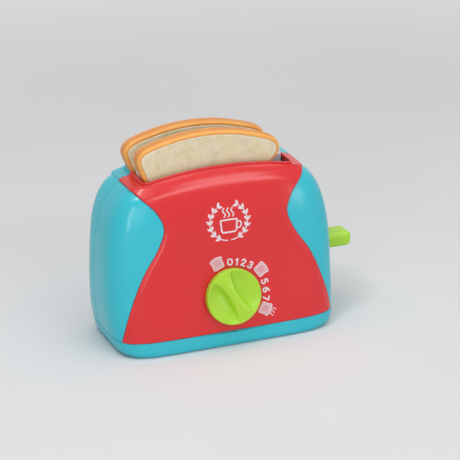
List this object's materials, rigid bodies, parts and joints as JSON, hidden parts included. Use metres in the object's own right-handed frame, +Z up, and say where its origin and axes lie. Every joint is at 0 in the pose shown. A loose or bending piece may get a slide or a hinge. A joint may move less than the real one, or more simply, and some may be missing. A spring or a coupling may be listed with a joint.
{
  "type": "toy toaster",
  "caption": "Toy pop-up toaster with rounded case, hourglass front panel, turning dial, side lever, sprung bread carriage and loose slices of play bread",
  "frame": {"origin": "centre of the underside, on the surface the toaster stands on", "axes": "x to the toaster's right, where the lever is; y from the dial's face to the back; z up"},
  "size_m": [0.1988, 0.0858, 0.1555],
  "materials": {
    "case_teal": "smooth moulded turquoise plastic, soft gloss",
    "panel_red": "smooth moulded red plastic, soft gloss, with white print on its front",
    "control_lime": "smooth moulded lime green plastic",
    "inner_white": "white moulded plastic, satin",
    "bread_crust": "moulded orange brown plastic, satin",
    "bread_crumb": "moulded cream plastic with a fine dimpled grain",
    "fastener_steel": "plain steel screws, rods and coil springs"
  },
  "bodies": {
    "case": {"base_tray": "case_teal", "front_shell": "case_teal", "rear_shell": "case_teal", "front_panel": "panel_red", "slot_divider": "inner_white", "guide_rod_left": "fastener_steel", "guide_rod_right": "fastener_steel", "lift_spring_left": "fastener_steel", "lift_spring_right": "fastener_steel", "latch_pin": "fastener_steel", "click_pawl": "inner_white", "case_screw_1": "fastener_steel", "case_screw_2": "fastener_steel", "case_screw_3": "fastener_steel", "case_screw_4": "fastener_steel", "base_screw_1": "fastener_steel", "base_screw_2": "fastener_steel", "base_screw_3": "fastener_steel", "base_screw_4": "fastener_steel"},
    "carriage": {"bread_carriage": "inner_white", "lever_paddle": "control_lime", "lever_screw": "fastener_steel"},
    "front_slice": {"front_slice_crust": "bread_crust", "front_slice_crumb": "bread_crumb"},
    "rear_slice": {"rear_slice_crust": "bread_crust", "rear_slice_crumb": "bread_crumb"},
    "dial": {"dial_knob": "control_lime", "dial_shaft": "inner_white", "dial_cam": "inner_white", "dial_screw": "fastener_steel"},
    "latch": {"latch_hook": "inner_white"}
  },
  "joints": [
    {"name": "carriage_lift", "type": "slide", "parent": "case", "child": "carriage", "axis": [0, 0, 1], "range_m": [0, 0.02], "deforming": ["lift_spring_left", "lift_spring_right"]},
    {"name": "front_slice_lift", "type": "slide", "parent": "carriage", "child": "front_slice", "axis": [0.0349, 0, 0.9994], "range_m": [0, 0.11]},
    {"name": "rear_slice_lift", "type": "slide", "parent": "carriage", "child": "rear_slice", "axis": [0.0175, 0, 0.9998], "range_m": [0, 0.11]},
    {"name": "dial_turn", "type": "hinge", "parent": "case", "child": "dial", "pos_m": [0, -0.03725, 0.0384], "axis": [0, 0.9903, -0.1387], "range_deg": [0, 142]},
    {"name": "latch_swing", "type": "hinge", "parent": "case", "child": "latch", "pos_m": [0.026, -0.021, 0.024], "axis": [1, 0, 0], "range_deg": [0, 8.3]}
  ],
  "couplings": [
    {"joint": "latch_swing", "follows": "dial_turn", "ratio": 0.0563}
  ]
}
